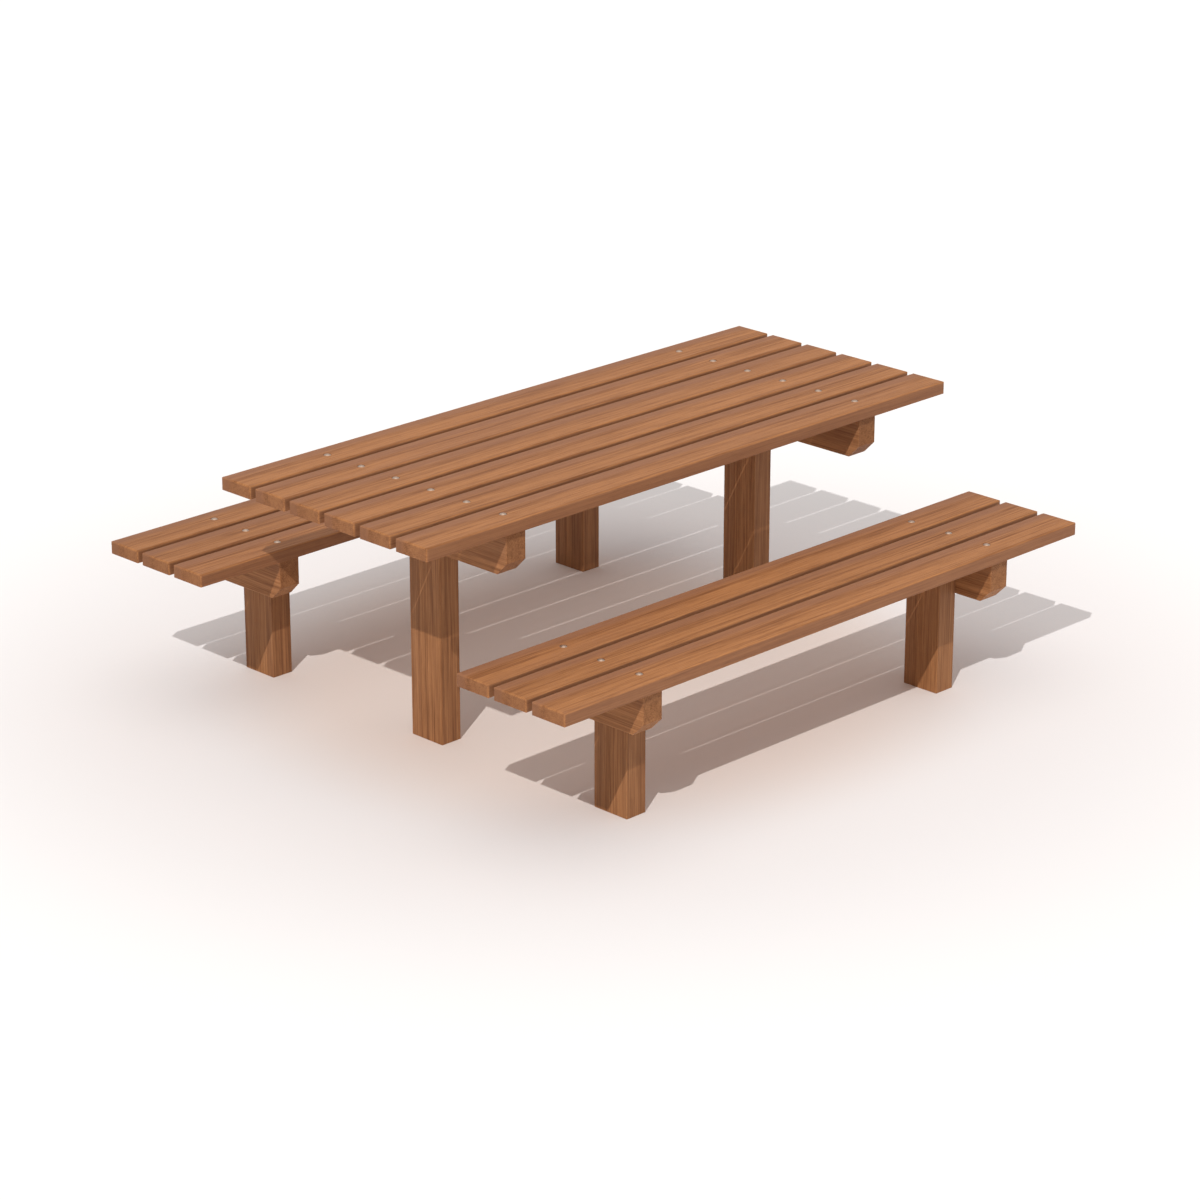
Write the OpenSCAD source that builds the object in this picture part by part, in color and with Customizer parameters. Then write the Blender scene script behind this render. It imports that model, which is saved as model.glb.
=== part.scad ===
// Picnic table with two separate benches, all in timber with steel carriage bolts.
// Every top is a row of planks, bolted to two crossbeams, and each crossbeam is bolted
// to the outer face of its own post. X runs along the planks, -Y is the front,
// and the origin is on the ground under the middle of the table.

/* [Tops] */
// Length of every plank
plank_l = 2038; // [1600:1:2600]
// Width of every plank
plank_w = 120; // [90:1:150]
// Thickness of every plank
plank_t = 37; // [24:1:45]
// Gap between the table's planks
table_gap = 19; // [6:1:30]
// Gap between a bench's planks
bench_gap = 18; // [6:1:30]
// Number of planks in the table top
table_planks = 6; // [4:1:8]
// Number of planks in each bench
bench_planks = 3; // [2:1:4]

/* [Edges] */
// Radius of the rounded upper edges and corners of every plank
plank_arris_r = 6; // [2:0.5:8]
// Radius of the eased lower edges of every plank
plank_low_arris_r = 2; // [1:0.5:4]
// Radius of the eased edges of crossbeams and posts
frame_arris_r = 3; // [1:0.5:5]

/* [Heights and places] */
// Height of the table top
table_h = 750; // [600:1:900]
// Height of the bench seats
bench_h = 441; // [340:1:560]
// Open passage between the table's long edge and a bench
passage = 104; // [60:1:300]
// Distance from the plank ends to the outer face of the crossbeams
end_overhang = 291; // [200:1:400]

/* [Crossbeams] */
// Thickness of a crossbeam, along the planks
beam_t = 70; // [50:1:90]
// Height of a crossbeam
beam_h = 120; // [110:1:160]
// Length of the 45 degree cut under each end of a crossbeam
beam_cut = 38; // [15:1:44]
// Distance from the top's long edge back to the crossbeam's end
beam_setback = 11; // [0:1:30]

/* [Posts] */
// Thickness of a post, along the planks
post_t = 70; // [50:1:100]
// Width of a post, across the planks
post_w = 122; // [110:1:180]

/* [Ground sockets] */
// Diameter of the blind sockets in the foot of each post
socket_d = 16; // [12:1:22]
// Depth of the blind sockets
socket_depth = 150; // [80:1:250]
// Distance between the two sockets of a post
socket_pitch = 60; // [40:1:80]

/* [Plank bolts] */
// Shank diameter
plank_bolt_d = 8; // [6:1:10]
// Diameter of the domed head
plank_head_d = 20; // [16:1:26]
// Height of the domed head
plank_head_h = 4.5; // [3.5:0.5:6]
// Depth of the seat that lets the head into the plank
plank_head_seat = 2; // [0.5:0.5:3]
// Height of the square neck under the head
plank_neck_h = 4; // [3:0.5:6]
// Outer diameter of the washer
plank_washer_d = 16; // [14:1:20]
// Thickness of the washer
plank_washer_t = 1.6; // [1:0.1:3]
// Width of the nut across its flats
plank_nut_flats = 13; // [12:1:17]
// Height of the nut
plank_nut_h = 6.5; // [5:0.5:9]

/* [Joint bolts] */
// Shank diameter
joint_bolt_d = 12; // [10:1:14]
// Diameter of the domed head
joint_head_d = 30; // [26:1:34]
// Height of the domed head
joint_head_h = 7; // [5:0.5:9]
// Height of the square neck under the head
joint_neck_h = 6; // [4:0.5:8]
// Outer diameter of the washer
joint_washer_d = 24; // [22:1:28]
// Thickness of the washer
joint_washer_t = 2.5; // [2:0.1:3]
// Width of the nut across its flats
joint_nut_flats = 19; // [17:1:22]
// Height of the nut
joint_nut_h = 10.5; // [8:0.5:12]
// Distance between a post's two joint bolts, across the planks
joint_pitch_y = 60; // [50:1:66]
// Distance between a post's two joint bolts, in height
joint_pitch_z = 44; // [0:1:50]

/* [Fits] */
// Extra diameter of a drilled hole over the bolt in it
hole_clear = 1; // [0.5:0.1:2]
// Extra width of a neck's square seat over the neck
neck_clear = 0.4; // [0.2:0.1:1]
// Extra diameter of a head's or a washer's round seat over it
seat_clear = 2; // [1:0.5:6]
// Extra diameter of a washer's or a nut's hole over the bolt
thread_clear = 0.2; // [0.1:0.1:0.6]
// Length of bolt that shows beyond the nut
bolt_tip = 2; // [1:0.5:5]
// Extra depth of a nut's round seat beyond the bolt's tip
seat_margin = 1; // [0.5:0.5:4]

/* [Hidden] */
$fn = 48;
eps = 1;

table_w = table_planks * plank_w + (table_planks - 1) * table_gap;
bench_w = bench_planks * plank_w + (bench_planks - 1) * bench_gap;
bench_y = table_w / 2 + passage + bench_w / 2;

// The two ends of every top: name and direction along X
SIDES = [["left", -1], ["right", 1]];
// The three sets: name, centre in Y, height of the top, number of planks, gap
SETS = [
    ["table", 0, table_h, table_planks, table_gap],
    ["front_bench", -bench_y, bench_h, bench_planks, bench_gap],
    ["rear_bench", bench_y, bench_h, bench_planks, bench_gap],
];
FASTENERS = [
    "plank_bolts", "plank_washers", "plank_nuts",
    "joint_bolts", "joint_washers", "joint_nuts",
];

function set_y(set) = set[1];
function top_z(set) = set[2];
function plank_count(set) = set[3];
function top_w(set) = plank_count(set) * plank_w + (plank_count(set) - 1) * set[4];
function beam_top_z(set) = top_z(set) - plank_t;
function beam_low_z(set) = beam_top_z(set) - beam_h;
function beam_mid_z(set) = beam_top_z(set) - beam_h / 2;

// Centre line of plank i in Y, counted from the front
function plank_y(set, i) =
    set_y(set) - top_w(set) / 2 + plank_w / 2 + (i - 1) * (plank_w + set[4]);

// Faces of the crossbeam and the post along X, for the right end
beam_out_x = plank_l / 2 - end_overhang;
beam_mid_x = beam_out_x - beam_t / 2;
post_out_x = beam_out_x - beam_t;
post_mid_x = post_out_x - post_t / 2;
post_in_x = post_out_x - post_t;

// A nut with its washer and the bolt's tip, measured out from the washer's seat
plank_stack = plank_washer_t + plank_nut_h + bolt_tip;
joint_stack = joint_washer_t + joint_nut_h + bolt_tip;
// Round seats hide the whole stacks, under the crossbeam and in the post's inner face
plank_seat_depth = plank_stack + seat_margin;
joint_seat_depth = joint_stack + seat_margin;

plank_grip = plank_t - plank_head_seat + beam_h - plank_seat_depth;
joint_grip = beam_t + post_t - joint_seat_depth;

// Offsets of a post's two joint bolts from the joint's middle, as [across, up]
JOINT_SPOTS = [for (s = [-1, 1]) [s * joint_pitch_y / 2, -s * joint_pitch_z / 2]];

// ---- Plain shapes ----

// Rectangle with corners of radius r, centred
module eased_rectangle(w, h, r) {
    square([w - 2 * r, h], center = true);
    square([w, h - 2 * r], center = true);
    for (x = [-1, 1], y = [-1, 1])
        translate([x * (w / 2 - r), y * (h / 2 - r)])
            circle(r = r);
}

// Straight bar of that section, its length along Z from 0
module eased_bar(w, h, length, r) {
    linear_extrude(length) eased_rectangle(w, h, r);
}

// Board's section with upper corners of one radius and lower corners of another, centred
module board_section(w, h, top_r, low_r) {
    translate([top_r - w / 2, 0]) square([w - 2 * top_r, h / 2]);
    translate([low_r - w / 2, -h / 2]) square([w - 2 * low_r, h / 2]);
    translate([-w / 2, low_r - h / 2]) square([w, h - top_r - low_r]);
    for (x = [-1, 1]) {
        translate([x * (w / 2 - top_r), h / 2 - top_r]) circle(r = top_r);
        translate([x * (w / 2 - low_r), low_r - h / 2]) circle(r = low_r);
    }
}

// Turns what is drawn along +Z so that it runs along +X
module along_x() {
    rotate([90, 0, 90]) children();
}

// Board from the origin along +X, centred in Y and Z. Its upper edges and its corners are rounded
// to top_r, and its lower edges to low_r.
module eased_board(length, w, t, top_r, low_r) {
    intersection() {
        along_x() linear_extrude(length) board_section(w, t, top_r, low_r);
        translate([length / 2, 0, -t / 2]) eased_bar(length, w, t, top_r);
        translate([length / 2, w / 2, 0])
            rotate([90, 0, 0])
                linear_extrude(w) board_section(length, t, top_r, low_r);
    }
}

// Carriage bolt with the underside of its head at the origin, its shank towards -Z
module carriage_bolt(d, head_d, head_h, neck_h, length) {
    dome_r = (head_d * head_d / 4 + head_h * head_h) / (2 * head_h);
    intersection() {
        translate([0, 0, head_h - dome_r]) sphere(dome_r);
        cylinder(d = head_d, h = head_h);
    }
    translate([-d / 2, -d / 2, -neck_h]) cube([d, d, neck_h]);
    translate([0, 0, -length]) cylinder(d = d, h = length);
}

// Flat ring that stands on the origin
module washer(d, outer_d, t) {
    difference() {
        cylinder(d = outer_d, h = t);
        translate([0, 0, -eps]) cylinder(d = d + thread_clear, h = t + 2 * eps);
    }
}

// Hexagon nut that stands on the origin
module nut(d, flats, h) {
    difference() {
        cylinder(d = flats / cos(30), h = h, $fn = 6);
        translate([0, 0, -eps]) cylinder(d = d + thread_clear, h = h + 2 * eps);
    }
}

// ---- Where things go ----

// Puts its children at one plank's two bolts, at height z
module at_plank_bolts(set, i, z) {
    for (side = SIDES)
        translate([side[1] * beam_mid_x, plank_y(set, i), z]) children();
}

// Puts its children at all the set's plank bolts
module at_all_plank_bolts(set, z) {
    for (i = [1 : plank_count(set)]) at_plank_bolts(set, i, z) children();
}

// Puts its children at one post's joint bolts, at distance x from the middle,
// with their +Z pointing outwards
module at_joint(set, side, x) {
    for (spot = JOINT_SPOTS)
        translate([side[1] * x, set_y(set) + spot[0], beam_mid_z(set) + spot[1]])
            rotate([0, side[1] * 90, 0]) children();
}

// Puts its children at all the set's joint bolts
module at_all_joints(set, x) {
    for (side = SIDES) at_joint(set, side, x) children();
}

// ---- Timber ----

// Plank i of a set, with a seat and a hole for each of its two bolts
module plank(set, i) {
    neck_w = plank_bolt_d + neck_clear;
    color("peru") difference() {
        translate([-plank_l / 2, plank_y(set, i), top_z(set) - plank_t / 2])
            eased_board(plank_l, plank_w, plank_t, plank_arris_r, plank_low_arris_r);
        at_plank_bolts(set, i, top_z(set)) {
            translate([0, 0, -plank_head_seat])
                cylinder(d = plank_head_d + seat_clear, h = plank_head_seat + eps);
            translate([-neck_w / 2, -neck_w / 2, -plank_head_seat - plank_neck_h])
                cube([neck_w, neck_w, plank_neck_h + eps]);
            translate([0, 0, -plank_t - eps])
                cylinder(d = plank_bolt_d + hole_clear, h = plank_t + eps);
        }
    }
}

// Outline of a crossbeam seen along the planks, centred in Y, its top edge at 0
module beam_outline(half_l) {
    polygon([
        [-half_l, 0],
        [-half_l, -beam_h + beam_cut],
        [-half_l + beam_cut, -beam_h],
        [half_l - beam_cut, -beam_h],
        [half_l, -beam_h + beam_cut],
        [half_l, 0],
    ]);
}

// Crossbeam under one end of a set, drilled for its plank bolts and joint bolts
module beam(set, side) {
    half_l = top_w(set) / 2 - beam_setback;
    neck_w = joint_bolt_d + neck_clear;
    color("sienna") difference() {
        translate([side[1] * beam_mid_x - beam_t / 2, set_y(set), beam_top_z(set)])
            intersection() {
                along_x() linear_extrude(beam_t) beam_outline(half_l);
                translate([beam_t / 2, half_l, -beam_h / 2])
                    rotate([90, 0, 0]) eased_bar(beam_t, beam_h, 2 * half_l, frame_arris_r);
                translate([beam_t / 2, 0, -beam_h])
                    eased_bar(beam_t, 2 * half_l, beam_h, frame_arris_r);
            }
        at_all_plank_bolts(set, beam_low_z(set) - eps) {
            cylinder(d = plank_bolt_d + hole_clear, h = beam_h + 2 * eps);
            cylinder(d = plank_washer_d + seat_clear, h = plank_seat_depth + eps);
        }
        at_joint(set, side, beam_out_x) {
            translate([-neck_w / 2, -neck_w / 2, -joint_neck_h])
                cube([neck_w, neck_w, joint_neck_h + eps]);
            translate([0, 0, -beam_t - eps])
                cylinder(d = joint_bolt_d + hole_clear, h = beam_t + eps);
        }
    }
}

// Post from the ground to the underside of the planks
module post(set, side) {
    color("saddlebrown") difference() {
        translate([side[1] * post_mid_x, set_y(set), 0])
            eased_bar(post_t, post_w, beam_top_z(set), frame_arris_r);
        at_joint(set, side, post_in_x) {
            translate([0, 0, -eps])
                cylinder(d = joint_washer_d + seat_clear, h = joint_seat_depth + eps);
            cylinder(d = joint_bolt_d + hole_clear, h = post_t + eps);
        }
        for (y = [-1, 1])
            translate([side[1] * post_mid_x, set_y(set) + y * socket_pitch / 2, -eps])
                cylinder(d = socket_d, h = socket_depth + eps);
    }
}

// ---- Fasteners ----

module plank_bolts(set) {
    color("silver") at_all_plank_bolts(set, top_z(set) - plank_head_seat)
        carriage_bolt(plank_bolt_d, plank_head_d, plank_head_h, plank_neck_h,
            plank_grip + plank_stack);
}

module plank_washers(set) {
    color("gainsboro") at_all_plank_bolts(set, beam_low_z(set) + plank_seat_depth)
        mirror([0, 0, 1]) washer(plank_bolt_d, plank_washer_d, plank_washer_t);
}

module plank_nuts(set) {
    color("darkgray")
        at_all_plank_bolts(set, beam_low_z(set) + plank_seat_depth - plank_washer_t)
        mirror([0, 0, 1]) nut(plank_bolt_d, plank_nut_flats, plank_nut_h);
}

module joint_bolts(set) {
    color("silver") at_all_joints(set, beam_out_x)
        carriage_bolt(joint_bolt_d, joint_head_d, joint_head_h, joint_neck_h,
            joint_grip + joint_stack);
}

module joint_washers(set) {
    color("gainsboro") at_all_joints(set, post_in_x + joint_seat_depth)
        mirror([0, 0, 1]) washer(joint_bolt_d, joint_washer_d, joint_washer_t);
}

module joint_nuts(set) {
    color("darkgray") at_all_joints(set, post_in_x + joint_seat_depth - joint_washer_t)
        mirror([0, 0, 1]) nut(joint_bolt_d, joint_nut_flats, joint_nut_h);
}

// ---- Nodes ----

for (set = SETS) {
    for (i = [1 : plank_count(set)])
        plank(set, i);
    for (side = SIDES)
        beam(set, side);
    for (side = SIDES)
        post(set, side);
    plank_bolts(set);
    plank_washers(set);
    plank_nuts(set);
    joint_bolts(set);
    joint_washers(set);
    joint_nuts(set);
}
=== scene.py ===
"""Looks of a timber picnic table and its two benches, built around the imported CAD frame."""

import math

import bmesh
import bpy
from mathutils import Matrix, Vector


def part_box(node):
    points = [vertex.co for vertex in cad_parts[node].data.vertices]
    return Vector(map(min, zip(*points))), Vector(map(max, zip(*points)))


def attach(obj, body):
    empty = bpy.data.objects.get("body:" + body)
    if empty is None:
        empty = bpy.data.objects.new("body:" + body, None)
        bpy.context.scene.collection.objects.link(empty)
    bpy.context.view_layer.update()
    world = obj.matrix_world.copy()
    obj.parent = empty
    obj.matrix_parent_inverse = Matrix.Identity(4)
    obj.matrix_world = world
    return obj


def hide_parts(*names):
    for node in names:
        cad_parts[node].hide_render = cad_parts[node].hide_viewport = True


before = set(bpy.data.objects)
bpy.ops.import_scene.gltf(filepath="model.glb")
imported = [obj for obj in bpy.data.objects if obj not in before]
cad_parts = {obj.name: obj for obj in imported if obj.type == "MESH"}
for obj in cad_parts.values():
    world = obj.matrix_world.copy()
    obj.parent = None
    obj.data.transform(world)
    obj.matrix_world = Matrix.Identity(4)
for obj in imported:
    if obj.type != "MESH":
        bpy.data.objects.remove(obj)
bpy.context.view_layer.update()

# ---- The frame's own pieces, by name ----

SETS = ("table", "front_bench", "rear_bench")
SIDES = {"left": -1, "right": 1}


def boards(set_name):
    """The names of a set's planks, from the front."""
    found = [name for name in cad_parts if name.startswith(set_name + "_plank_")]
    return sorted(name for name in found if name[-1].isdigit())


def middle(node_name):
    """The middle of a CAD node's box."""
    low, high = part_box(node_name)
    return (low + high) / 2


# ---- Colours ----


def srgb(red, green, blue):
    """A colour given on the 0 to 255 scale, as Blender's linear RGBA."""

    def linear(level):
        share = level / 255
        return share / 12.92 if share <= 0.04045 else ((share + 0.055) / 1.055) ** 2.4

    return (linear(red), linear(green), linear(blue), 1.0)


# ---- Helpers that build nodes ----


def fill_inputs(tree, made, inputs):
    """Sets a node's inputs. Each is a value, or the socket that feeds it."""
    for name, value in inputs.items():
        if isinstance(value, bpy.types.NodeSocket):
            tree.links.new(value, made.inputs[name])
        else:
            made.inputs[name].default_value = value


def node(tree, kind, inputs=None, **settings):
    """Adds a node. inputs maps a socket's name or number to its value or feed."""
    made = tree.nodes.new("ShaderNode" + kind)
    for name, value in settings.items():
        setattr(made, name, value)
    fill_inputs(tree, made, inputs or {})
    return made


def maths(tree, operation, *values, clamp=False):
    """The result of a Math node on these values or sockets."""
    return node(tree, "Math", dict(enumerate(values)), operation=operation, use_clamp=clamp).outputs[0]


def vector_maths(tree, operation, *values):
    """The vector that a Vector Math node makes of these values or sockets."""
    return node(tree, "VectorMath", dict(enumerate(values)), operation=operation).outputs[0]


def remap(tree, value, low, high, to_low=0.0, to_high=1.0):
    """value taken smoothly from the range low to high to the range to_low to to_high."""
    inputs = {"Value": value, "From Min": low, "From Max": high, "To Min": to_low, "To Max": to_high}
    return node(tree, "MapRange", inputs, interpolation_type="SMOOTHSTEP").outputs[0]


def bump_at(tree, value, centre, reach):
    """1 where value is centre, falling smoothly to 0 at reach on either side of it."""
    off = maths(tree, "ABSOLUTE", maths(tree, "SUBTRACT", value, centre))
    return remap(tree, off, reach, 0.0)


def noise(tree, position, scales, detail=2.0, roughness=0.5):
    """Noise with a scale for each axis, in features a metre. Returns its value and its colour."""
    stretched = vector_maths(tree, "MULTIPLY", position, scales)
    inputs = {"Vector": stretched, "Scale": 1.0, "Detail": detail, "Roughness": roughness}
    made = node(tree, "TexNoise", inputs)
    return made.outputs["Fac"], made.outputs["Color"]


def mix_colour(tree, share, first, second, blend="MIX"):
    """Two colours mixed, second's share given from 0 to 1."""
    inputs = {"Factor": share, 6: first, 7: second}
    return node(tree, "Mix", inputs, data_type="RGBA", blend_type=blend).outputs[2]


def new_group(name, inputs, outputs):
    """An empty shader node group. An input is its name, its kind and its starting value or None."""
    group = bpy.data.node_groups.new(name, "ShaderNodeTree")
    for label, kind, value in inputs:
        made = group.interface.new_socket(label, in_out="INPUT", socket_type="NodeSocket" + kind)
        if value is not None:
            made.default_value = value
    for label, kind in outputs:
        group.interface.new_socket(label, in_out="OUTPUT", socket_type="NodeSocket" + kind)
    return group, group.nodes.new("NodeGroupInput").outputs, group.nodes.new("NodeGroupOutput").inputs


def use_group(tree, group, inputs):
    """Places a group in a material and returns its outputs."""
    placed = tree.nodes.new("ShaderNodeGroup")
    placed.node_tree = group
    fill_inputs(tree, placed, inputs)
    return placed.outputs


# ---- Effects shared by the materials ----

RINGS_PER_METRE = 190.0


def build_timber_figure():
    """Solid timber from a log that runs along X. Position is along, across and through the board."""
    group, given, result = new_group(
        "timber_figure",
        [
            ("Position", "Vector", None),
            ("Facing", "Vector", None),
            ("Board", "Float", 0.0),
            ("Light Wood", "Color", None),
            ("Dark Wood", "Color", None),
            ("Rosy Wood", "Color", None),
            ("Banding", "Float", 0.0),
            ("Half Width", "Float", 0.06),
        ],
        [("Color", "Color"), ("Roughness", "Float"), ("Height", "Float")],
    )
    position, board = given["Position"], given["Board"]
    spot = node(group, "SeparateXYZ", {0: position}).outputs

    # Every board comes from another place in the log
    chance = node(group, "TexWhiteNoise", {"W": board}, noise_dimensions="1D").outputs["Color"]
    draw = node(group, "SeparateColor", {"Color": chance}).outputs
    away = [maths(group, "MULTIPLY", board, step) for step in (3.1, 0.73, 0.41)]
    shift = node(group, "CombineXYZ", dict(enumerate(away))).outputs[0]
    place = vector_maths(group, "ADD", position, shift)

    # Growth rings round the log's axis, which wanders along the board
    _, wander = noise(group, place, (1.1, 5.0, 5.0), detail=2.0)
    sway = node(group, "SeparateColor", {"Color": wander}).outputs
    off_axis = []
    for axis, spread, least in ((1, 0.09, -0.045), (2, 0.08, 0.035)):
        start = maths(group, "MULTIPLY_ADD", draw[axis - 1], spread, least)
        moved = maths(group, "ADD", spot[axis], start)
        swayed = maths(group, "MULTIPLY_ADD", sway[axis - 1], 0.05, -0.025)
        off_axis.append(maths(group, "ADD", moved, swayed))
    squared = maths(group, "MULTIPLY", off_axis[0], off_axis[0])
    radius = maths(group, "SQRT", maths(group, "MULTIPLY_ADD", off_axis[1], off_axis[1], squared))
    phase = maths(group, "FRACT", maths(group, "MULTIPLY", radius, RINGS_PER_METRE))
    ring = maths(group, "MULTIPLY", maths(group, "POWER", phase, 2.0), remap(group, phase, 1.0, 0.88))

    # Fibres and pores drawn out along the board
    streak, _ = noise(group, place, (1.6, 85.0, 85.0), detail=4.0, roughness=0.72)
    fibre, _ = noise(group, place, (5.0, 260.0, 260.0), detail=3.0, roughness=0.65)
    pore, _ = noise(group, place, (26.0, 1000.0, 1000.0), detail=1.0)
    pores = remap(group, pore, 0.6, 0.72)
    cloud, _ = noise(group, place, (0.9, 9.0, 9.0), detail=2.0)

    faces = node(group, "SeparateXYZ", {0: given["Facing"]}).outputs

    def square_to(axis):
        """1 on the faces that are square to this axis of the board."""
        return remap(group, maths(group, "ABSOLUTE", faces[axis]), 0.8, 0.98)

    # End grain shows the rings more and drinks more oil. The long sides, square to the board's width,
    # get painted shade: darker and rosier than the top face, standing in for the shade in the gaps
    # between the planks.
    end_face, side_face = square_to(0), square_to(1)
    end_grain_and_side_shade = maths(group, "MAXIMUM", maths(group, "MULTIPLY", end_face, 0.5), side_face)
    end_grain_and_side_shade = maths(group, "MULTIPLY", end_grain_and_side_shade, given["Banding"])

    tone = maths(group, "MULTIPLY_ADD", streak, 1.9, -0.6)
    tone = maths(group, "MULTIPLY_ADD", maths(group, "SUBTRACT", fibre, 0.5), 2.0, tone)
    ring_share = maths(group, "MULTIPLY_ADD", end_face, 0.3, 0.16)
    tone = maths(group, "MULTIPLY_ADD", ring, ring_share, tone)

    # Bands that run the board's whole length: a bright one near the front, and behind it a rosy
    # one with a dark line
    drift = maths(group, "MULTIPLY_ADD", cloud, 0.36, -0.18)
    across = maths(group, "ADD", maths(group, "DIVIDE", spot[1], given["Half Width"]), drift)
    bright = bump_at(group, across, -0.5, 0.85)
    dark_line = bump_at(group, across, 0.64, 0.18)
    middle_line = bump_at(group, across, 0.14, 0.3)
    banded = maths(group, "MULTIPLY_ADD", bright, -0.26, maths(group, "MULTIPLY", dark_line, 0.22))
    banded = maths(group, "MULTIPLY_ADD", middle_line, 0.1, banded)
    band_share = maths(group, "MULTIPLY", given["Banding"], maths(group, "SUBTRACT", 1.0, side_face))
    tone = maths(group, "MULTIPLY_ADD", banded, band_share, tone, clamp=True)
    colour = mix_colour(group, tone, given["Light Wood"], given["Dark Wood"])

    rosy = maths(group, "MULTIPLY", remap(group, across, 0.15, 0.6, 0.0, 0.75), band_share)
    # Painted shade on the long sides, plus the end grain's own colour, makes these faces rosier
    rosy = maths(group, "MAXIMUM", rosy, maths(group, "MULTIPLY", end_grain_and_side_shade, 0.6))
    rosy = maths(group, "MAXIMUM", rosy, remap(group, cloud, 0.5, 0.8, 0.0, 0.35))
    colour = mix_colour(group, rosy, colour, given["Rosy Wood"])

    colour = mix_colour(group, maths(group, "MULTIPLY", pores, 0.4), colour, given["Dark Wood"])
    colour = mix_colour(group, maths(group, "MULTIPLY", end_face, 0.15), colour, given["Dark Wood"])
    level = maths(group, "MULTIPLY_ADD", draw[2], 0.08, 0.96)
    # Painted shade on the long sides, plus the end grain's own oil, makes these faces darker
    level = maths(group, "MULTIPLY_ADD", end_grain_and_side_shade, -0.1, level)
    colour = node(group, "HueSaturation", {"Value": level, "Color": colour}).outputs[0]
    group.links.new(colour, result["Color"])

    rough = maths(group, "MULTIPLY_ADD", fibre, 0.18, 0.5)
    rough = maths(group, "MULTIPLY_ADD", end_face, 0.12, rough)
    group.links.new(rough, result["Roughness"])

    height = maths(group, "MULTIPLY_ADD", pores, -0.6, maths(group, "MULTIPLY", fibre, 0.8))
    height = maths(group, "MULTIPLY_ADD", streak, 0.6, height)
    height = maths(group, "MULTIPLY_ADD", ring, -0.3, height)
    group.links.new(height, result["Height"])
    return group


def build_edge_wear():
    """How worn a point is: 1 on edges and corners, broken up by noise, and 0 on faces."""
    group, given, result = new_group(
        "edge_wear",
        [("Position", "Vector", None), ("Width", "Float", 0.003), ("Amount", "Float", 0.6)],
        [("Mask", "Float")],
    )
    rounded = node(group, "Bevel", {"Radius": given["Width"]}, samples=6).outputs[0]
    true_face = node(group, "NewGeometry").outputs["True Normal"]
    turned = node(group, "VectorMath", {0: rounded, 1: true_face}, operation="DOT_PRODUCT")
    worn = remap(group, turned.outputs["Value"], 0.99, 0.86)
    patchy, _ = noise(group, given["Position"], (60.0, 60.0, 60.0), detail=3.0)
    broken = maths(group, "MULTIPLY", worn, remap(group, patchy, 0.38, 0.62))
    group.links.new(maths(group, "MULTIPLY", broken, given["Amount"]), result["Mask"])
    return group


DARK_ZINC = srgb(176, 154, 138)
PALE_ZINC = srgb(212, 190, 172)
WORN_ZINC = srgb(230, 212, 198)


def build_zinc_skin():
    """The dull, faintly spangled skin of galvanised steel."""
    group, given, result = new_group(
        "zinc_skin",
        [("Position", "Vector", None)],
        [("Color", "Color"), ("Roughness", "Float"), ("Height", "Float")],
    )
    grains = node(group, "TexVoronoi", {"Vector": given["Position"], "Scale": 700.0})
    grain = node(group, "SeparateColor", {"Color": grains.outputs["Color"]}).outputs[0]
    bloom, _ = noise(group, given["Position"], (260.0, 260.0, 260.0), detail=4.0)
    shade = maths(group, "MULTIPLY_ADD", grain, 0.35, maths(group, "MULTIPLY", bloom, 0.65))
    colour = mix_colour(group, shade, DARK_ZINC, PALE_ZINC)
    group.links.new(colour, result["Color"])
    group.links.new(maths(group, "MULTIPLY_ADD", bloom, 0.25, 0.34), result["Roughness"])
    group.links.new(bloom, result["Height"])
    return group


timber_figure = build_timber_figure()
edge_wear = build_edge_wear()
zinc_skin = build_zinc_skin()

# ---- Materials ----


def new_material(name):
    """A material with its Principled shader. Returns the material, its tree and the shader."""
    made = bpy.data.materials.new(name)
    made.use_nodes = True
    return made, made.node_tree, made.node_tree.nodes["Principled BSDF"]


def turn_axes(tree, vector, order):
    """The vector's parts in another order, such as "YZX" for a board that runs along Y."""
    parts = node(tree, "SeparateXYZ", {0: vector}).outputs
    ordered = {place: parts["XYZ".index(axis)] for place, axis in enumerate(order)}
    return node(tree, "CombineXYZ", ordered).outputs[0]


def object_value(tree, name, output):
    """A custom property of the object that is shaded."""
    return node(tree, "Attribute", attribute_type="OBJECT", attribute_name=name).outputs[output]


def edge_mask(tree, here, width, amount):
    """How worn this point is, for edges of this width."""
    return use_group(tree, edge_wear, {"Position": here, "Width": width, "Amount": amount})["Mask"]


def half_width(node_name):
    """Half of a CAD node's width across the planks."""
    low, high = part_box(node_name)
    return (high.y - low.y) / 2


# Light, dark and rosy wood. The frame's boards are a little plainer than the planks.
PLANK_WOOD = (srgb(172, 117, 73), srgb(112, 66, 36), srgb(147, 102, 75))
FRAME_WOOD = (srgb(172, 119, 77), srgb(112, 68, 38), srgb(145, 104, 77))
WORN_WOOD = srgb(176, 132, 100)
TIMBER_EDGE_WEAR = 0.003


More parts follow.
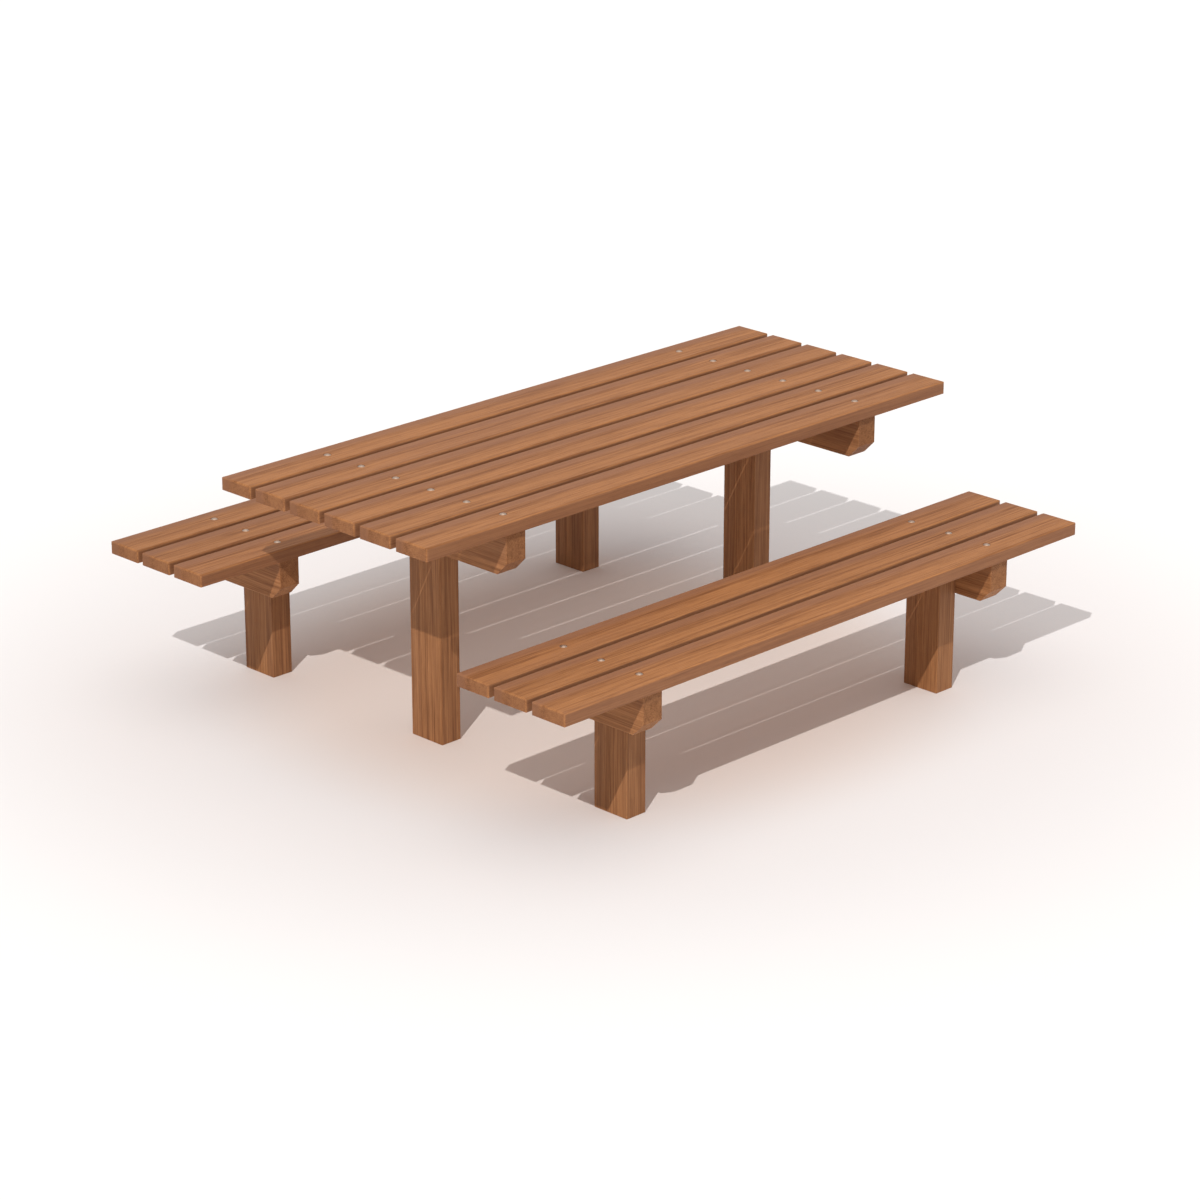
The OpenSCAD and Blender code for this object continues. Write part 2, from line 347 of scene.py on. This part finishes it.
def make_timber(name, order, banding, wood, half_board):
    """Oiled hardwood. order gives the axes that run along, across and through the board."""
    material, tree, shader = new_material(name)
    here = node(tree, "TexCoord").outputs["Object"]
    centre = object_value(tree, "board_middle", "Vector")
    number = object_value(tree, "board_number", "Fac")
    facing = node(tree, "NewGeometry").outputs["True Normal"]
    position = turn_axes(tree, vector_maths(tree, "SUBTRACT", here, centre), order)
    figure = use_group(
        tree,
        timber_figure,
        {
            "Position": position,
            "Facing": turn_axes(tree, facing, order),
            "Board": number,
            "Light Wood": wood[0],
            "Dark Wood": wood[1],
            "Rosy Wood": wood[2],
            "Banding": banding,
            "Half Width": half_board,
        },
    )
    worn = edge_mask(tree, here, TIMBER_EDGE_WEAR, 0.4)
    colour = mix_colour(tree, worn, figure["Color"], WORN_WOOD)
    tree.links.new(colour, shader.inputs["Base Color"])
    tree.links.new(figure["Roughness"], shader.inputs["Roughness"])
    bump = node(tree, "Bump", {"Height": figure["Height"], "Strength": 0.5, "Distance": 0.0006})
    tree.links.new(bump.outputs[0], shader.inputs["Normal"])
    shader.inputs["Specular IOR Level"].default_value = 0.18
    return material


STEEL_EDGE_WEAR = 0.0006


def make_steel():
    """Galvanised steel for all the fasteners."""
    material, tree, shader = new_material("galvanised_steel")
    here = node(tree, "TexCoord").outputs["Object"]
    skin = use_group(tree, zinc_skin, {"Position": here})
    worn = edge_mask(tree, here, STEEL_EDGE_WEAR, 0.5)
    colour = mix_colour(tree, worn, skin["Color"], WORN_ZINC)
    tree.links.new(colour, shader.inputs["Base Color"])
    tree.links.new(skin["Roughness"], shader.inputs["Roughness"])
    bump = node(tree, "Bump", {"Height": skin["Height"], "Strength": 0.3, "Distance": 0.0002})
    tree.links.new(bump.outputs[0], shader.inputs["Normal"])
    shader.inputs["Metallic"].default_value = 1.0
    return material


plank_timber = make_timber("plank_timber", "XYZ", 1.0, PLANK_WOOD, half_width("table_plank_1"))
beam_timber = make_timber("beam_timber", "YZX", 0.3, FRAME_WOOD, half_width("table_post_left"))
post_timber = make_timber("post_timber", "ZYX", 0.3, FRAME_WOOD, half_width("table_post_left"))
steel = make_steel()


def timber_of(name):
    """The timber that a CAD node is made of, or None for a fastener."""
    if "_beam_" in name:
        return beam_timber
    if "_post_" in name:
        return post_timber
    return plank_timber if name[-1].isdigit() else None


def dress_timber():
    """Gives every plank, crossbeam and post its timber, and its own place in the log."""
    boards_of_wood = [name for name in sorted(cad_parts) if timber_of(name)]
    for number, name in enumerate(boards_of_wood, start=1):
        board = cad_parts[name]
        board.data.materials.clear()
        board.data.materials.append(timber_of(name))
        board["board_middle"] = middle(name)
        board["board_number"] = float(number)


dress_timber()

# ---- Fasteners ----

# Sides of a round shape
ROUND = 40
# Room between a bolt and the hole of its nut or washer
THREAD_CLEAR = 0.0001


def ring_of_points(mesh, radius, z, count=ROUND):
    """One ring of vertices round the Z axis."""
    turns = [2 * math.pi * i / count for i in range(count)]
    return [mesh.verts.new((radius * math.cos(t), radius * math.sin(t), z)) for t in turns]


def join_rings(mesh, rings, cap_first=True, cap_last=True):
    """Skins a stack of rings, from the lowest to the highest, and closes its ends."""
    for lower, upper in zip(rings, rings[1:]):
        for i in range(len(lower)):
            j = (i + 1) % len(lower)
            mesh.faces.new((lower[i], lower[j], upper[j], upper[i]))
    if cap_first:
        mesh.faces.new(list(reversed(rings[0])))
    if cap_last:
        mesh.faces.new(rings[-1])


def add_dome(mesh, radius, height, rim=0.0006, steps=8):
    """A carriage bolt's low round head that sits on z = 0, with a thin upright rim."""
    rise = height - rim
    ball = (radius * radius + rise * rise) / (2 * rise)
    opening = math.asin(radius / ball)
    rings = [ring_of_points(mesh, radius * 0.985, 0.0), ring_of_points(mesh, radius, rim * 0.3)]
    for i in range(steps):
        turn = opening * (1 - i / steps)
        rings.append(ring_of_points(mesh, ball * math.sin(turn), height - ball + ball * math.cos(turn)))
    join_rings(mesh, rings)


def add_square_neck(mesh, width, height):
    """The square neck under a head, from z = 0 down."""
    made = bmesh.ops.create_cube(mesh, size=1.0)
    size = Matrix.Diagonal((width, width, height, 1))
    bmesh.ops.transform(mesh, matrix=Matrix.Translation((0, 0, -height / 2)) @ size, verts=made["verts"])


def add_threaded_shank(mesh, radius, top, bottom, thread_length, pitch):
    """A shank from z = top down to z = bottom, its last stretch cut with a true helical thread."""
    depth = 0.6 * pitch
    thread_top = bottom + thread_length
    rings = [ring_of_points(mesh, radius - depth * 1.3, bottom)]
    steps_per_turn = 6
    rows = int(round((thread_length - pitch) / pitch * steps_per_turn))
    for row in range(rows + 1):
        z = bottom + depth + (thread_length - depth - pitch) * row / rows
        ring = ring_of_points(mesh, radius, z)
        for i, vert in enumerate(ring):
            phase = (z / pitch - i / len(ring)) % 1.0
            cut = depth * (1 - abs(2 * phase - 1))
            scale = (radius - cut) / radius
            vert.co.x *= scale
            vert.co.y *= scale
        rings.append(ring)
    rings.append(ring_of_points(mesh, radius, thread_top))
    rings.append(ring_of_points(mesh, radius, top))
    join_rings(mesh, rings)


def add_washer(mesh, hole_radius, radius, thickness):
    """A flat washer from z = 0 up, with its punched edges rounded."""
    ease = min(0.0004, thickness / 4)
    outline = [
        (hole_radius, ease),
        (hole_radius + ease, 0.0),
        (radius - ease, 0.0),
        (radius, ease),
        (radius, thickness - ease),
        (radius - ease, thickness),
        (hole_radius + ease, thickness),
        (hole_radius, thickness - ease),
    ]
    rings = [ring_of_points(mesh, r, z) for r, z in outline]
    join_rings(mesh, rings + rings[:1], cap_first=False, cap_last=False)


def add_nut(mesh, hole_radius, flats, height):
    """A hexagon nut from z = 0 up, its corners turned back by a 30 degree chamfer at both faces."""
    count = 72
    half = flats / 2
    chamfer_radius = half * 0.96

    def reach(turn):
        return half / math.cos(turn % (math.pi / 3) - math.pi / 6)

    def side_ring(upper):
        ring = []
        for i in range(count):
            turn = 2 * math.pi * i / count
            out = reach(turn)
            drop = (out - chamfer_radius) * math.tan(math.radians(30))
            z = height - drop if upper else drop
            ring.append(mesh.verts.new((out * math.cos(turn), out * math.sin(turn), z)))
        return ring

    lead = 0.0004
    rings = [
        ring_of_points(mesh, hole_radius, lead, count),
        ring_of_points(mesh, hole_radius + lead, 0.0, count),
        ring_of_points(mesh, chamfer_radius, 0.0, count),
        side_ring(False),
        side_ring(True),
        ring_of_points(mesh, chamfer_radius, height, count),
        ring_of_points(mesh, hole_radius + lead, height, count),
        ring_of_points(mesh, hole_radius, height - lead, count),
    ]
    join_rings(mesh, rings + rings[:1], cap_first=False, cap_last=False)


def make_fasteners(node_name, build_one, places):
    """One piece that stands for a CAD node of fasteners: build_one's shape at every place."""
    one = bmesh.new()
    build_one(one)
    bmesh.ops.recalc_face_normals(one, faces=one.faces)
    template = bpy.data.meshes.new(node_name + "_one")
    one.to_mesh(template)
    one.free()
    whole = bmesh.new()
    for place in places:
        template.transform(place)
        whole.from_mesh(template)
        template.transform(place.inverted())
    mesh = bpy.data.meshes.new(node_name + "_shape")
    whole.to_mesh(mesh)
    whole.free()
    bpy.data.meshes.remove(template)
    mesh.shade_smooth()
    mesh.set_sharp_from_angle(angle=math.radians(35))
    mesh.materials.append(steel)
    piece = bpy.data.objects.new(node_name + "_detailed", mesh)
    bpy.context.scene.collection.objects.link(piece)
    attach(piece, "root")
    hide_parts(node_name)
    return piece


def fit_plank_fasteners(set_name):
    """The M8 bolts, washers and nuts that hold a set's planks to its crossbeams."""
    bolts_low, bolts_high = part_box(set_name + "_plank_bolts")
    washers_low, washers_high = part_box(set_name + "_plank_washers")
    nuts_low, nuts_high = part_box(set_name + "_plank_nuts")
    beam_x = middle(set_name + "_beam_right").x
    spots = [(sign * beam_x, middle(name).y) for sign in SIDES.values() for name in boards(set_name)]

    head_radius = bolts_high.x - beam_x
    head_height = 0.0045
    neck_height = 0.004
    shank = 0.004
    thread_length = 0.022
    thread_pitch = 0.00125
    seat = bolts_high.z - head_height
    length = seat - bolts_low.z

    def bolt(mesh):
        add_dome(mesh, head_radius, head_height)
        add_square_neck(mesh, 2 * shank, neck_height)
        add_threaded_shank(mesh, shank, 0.0, -length, thread_length, thread_pitch)

    def washer(mesh):
        add_washer(mesh, shank + THREAD_CLEAR, washers_high.x - beam_x, washers_high.z - washers_low.z)

    def nut(mesh):
        add_nut(mesh, shank + THREAD_CLEAR, 2 * (nuts_high.y - spots[-1][1]), nuts_high.z - nuts_low.z)

    def places(z):
        return [Matrix.Translation((x, y, z)) for x, y in spots]

    make_fasteners(set_name + "_plank_bolts", bolt, places(seat))
    make_fasteners(set_name + "_plank_washers", washer, places(washers_low.z))
    make_fasteners(set_name + "_plank_nuts", nut, places(nuts_low.z))


def fit_joint_fasteners(set_name):
    """The M12 bolts, washers and nuts that hold a set's crossbeams to its posts."""
    bolts_low, bolts_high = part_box(set_name + "_joint_bolts")
    _, washers_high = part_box(set_name + "_joint_washers")
    _, beam_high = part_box(set_name + "_beam_right")

    head_radius = 0.015
    neck_height = 0.006
    shank = 0.006
    thread_length = 0.026
    thread_pitch = 0.00175
    bolt_tip = 0.002
    washer_radius = 0.012
    washer_thickness = 0.0025
    nut_flats = 0.019
    nut_height = 0.0105

    # Distances of faces from the middle, along the planks
    seat = beam_high.x
    head_height = bolts_high.x - seat
    nut_seat = washers_high.x - washer_thickness
    nut_face = nut_seat - nut_height
    tip = nut_face - bolt_tip

    middle_y = (bolts_high.y + bolts_low.y) / 2
    middle_z = (bolts_high.z + bolts_low.z) / 2
    half_pitch_y = (bolts_high.y - bolts_low.y) / 2 - head_radius
    half_pitch_z = (bolts_high.z - bolts_low.z) / 2 - head_radius

    def places(x):
        """Each joint bolt's axis, pointing outwards, at distance x from the middle."""
        made = []
        for sign in SIDES.values():
            turn = Matrix.Rotation(sign * math.pi / 2, 4, "Y")
            for way in (-1, 1):
                at = Vector((sign * x, middle_y + way * half_pitch_y, middle_z - way * half_pitch_z))
                made.append(Matrix.Translation(at) @ turn)
        return made

    def bolt(mesh):
        add_dome(mesh, head_radius, head_height, steps=10)
        add_square_neck(mesh, 2 * shank, neck_height)
        add_threaded_shank(mesh, shank, 0.0, tip - seat, thread_length, thread_pitch)

    def washer(mesh):
        add_washer(mesh, shank + THREAD_CLEAR, washer_radius, washer_thickness)

    def nut(mesh):
        add_nut(mesh, shank + THREAD_CLEAR, nut_flats, nut_height)

    make_fasteners(set_name + "_joint_bolts", bolt, places(seat))
    make_fasteners(set_name + "_joint_washers", washer, places(nut_seat))
    make_fasteners(set_name + "_joint_nuts", nut, places(nut_face))


for set_name in SETS:
    fit_plank_fasteners(set_name)
    fit_joint_fasteners(set_name)

# ---- Floor, light and camera ----

# Floor colours: painted shade and warm bounced light near the table, fading to even white far off
FLOOR_PAINTED_SHADE_NEAR = srgb(231, 219, 212)
FLOOR_PAINTED_SHADE_MID = srgb(232, 229, 229)
FLOOR_FAR = srgb(242, 242, 242)


def lay_floor():
    """A wide white floor with painted shade and painted warm bounced light round the table, where it is
    a little darker and warmer. It shows nothing from below.
    """
    mesh = bpy.data.meshes.new("floor_sheet")
    half = 60.0
    corners = [(-half, -half, 0), (half, -half, 0), (half, half, 0), (-half, half, 0)]
    mesh.from_pydata(corners, [], [(0, 1, 2, 3)])
    floor = bpy.data.objects.new("floor", mesh)
    bpy.context.scene.collection.objects.link(floor)
    floor.location.z = -0.0005

    material, tree, shader = new_material("pale_floor")
    here = node(tree, "TexCoord").outputs["Object"]
    away = node(tree, "VectorMath", {0: here}, operation="LENGTH").outputs["Value"]
    # Painted shade and warm bounced light: the floor is darker and warmer within about 2.4 m of the
    # middle
    colour = mix_colour(tree, remap(tree, away, 0.7, 1.2), FLOOR_PAINTED_SHADE_NEAR, FLOOR_PAINTED_SHADE_MID)
    colour = mix_colour(tree, remap(tree, away, 1.3, 2.4), colour, FLOOR_FAR)
    tree.links.new(colour, shader.inputs["Base Color"])
    shader.inputs["Roughness"].default_value = 0.9
    shader.inputs["Specular IOR Level"].default_value = 0.1
    clear = node(tree, "BsdfTransparent").outputs[0]
    below = node(tree, "NewGeometry").outputs["Backfacing"]
    surface = node(tree, "MixShader", {0: below, 1: shader.outputs[0], 2: clear}).outputs[0]
    tree.links.new(surface, tree.nodes["Material Output"].inputs["Surface"])
    mesh.materials.append(material)


def add_sun(name, energy, spread, colour, travel):
    """A distant lamp whose light travels along travel, and spreads over an angle in degrees."""
    sun = bpy.data.lights.new(name, "SUN")
    sun.energy = energy
    sun.angle = math.radians(spread)
    sun.color = colour
    lamp = bpy.data.objects.new(name, sun)
    lamp.rotation_euler = Vector(travel).to_track_quat("-Z", "Y").to_euler()
    bpy.context.scene.collection.objects.link(lamp)
    return sun


KEY_COLOUR = (1.0, 0.99, 0.97)
FILL_COLOUR = (1.0, 0.88, 0.79)
SKY_LOW = srgb(255, 255, 255)
SKY_HIGH = srgb(214, 214, 216)
SKY_DIM = srgb(60, 60, 60)
BACKDROP = (1.0, 1.0, 1.0, 1.0)


def light_room():
    """A key light from the front left, a fill from overhead and a pale surround, dimmer at the left."""
    add_sun("key_light", energy=2.08, spread=0.5, colour=KEY_COLOUR, travel=(0.90, 0.515, -1.0))
    fill = add_sun("fill_light", energy=0.75, spread=60.0, colour=FILL_COLOUR, travel=(0.0, 0.0, -1.0))
    fill.use_shadow = False
    fill.specular_factor = 0.0

    world = bpy.data.worlds.new("surround")
    world.use_nodes = True
    tree = world.node_tree
    towards = node(tree, "SeparateXYZ", {0: node(tree, "TexCoord").outputs["Generated"]}).outputs
    sky = mix_colour(tree, remap(tree, towards[2], 0.0, 0.9), SKY_LOW, SKY_HIGH)
    dim = remap(tree, towards[0], 0.1, -0.8, 0.0, 0.56)
    sky = mix_colour(tree, dim, sky, SKY_DIM)
    lighting = tree.nodes["Background"]
    tree.links.new(sky, lighting.inputs["Color"])
    lighting.inputs["Strength"].default_value = 0.8
    backdrop = node(tree, "Background", {"Color": BACKDROP, "Strength": 1.0}).outputs[0]
    seen = node(tree, "LightPath").outputs["Is Camera Ray"]
    surface = node(tree, "MixShader", {0: seen, 1: lighting.outputs[0], 2: backdrop}).outputs[0]
    tree.links.new(surface, tree.nodes["World Output"].inputs["Surface"])
    bpy.context.scene.world = world


def place_camera():
    """A long lens that looks down on the set from its front left corner."""
    aim = Vector((-0.306, -0.319, 0.400))
    azimuth = math.radians(-45.0)
    elevation = math.radians(20.495)
    distance = 10.32
    data = bpy.data.cameras.new("camera")
    data.lens = 114.0
    data.sensor_width = 36.0
    camera = bpy.data.objects.new("camera", data)
    flat = math.cos(elevation)
    back = Vector((math.sin(azimuth) * flat, -math.cos(azimuth) * flat, math.sin(elevation)))
    camera.location = aim + back * distance
    camera.rotation_euler = (-back).to_track_quat("-Z", "Y").to_euler()
    bpy.context.scene.collection.objects.link(camera)
    bpy.context.scene.camera = camera


lay_floor()
light_room()
place_camera()
bpy.context.scene.view_settings.view_transform = "Standard"
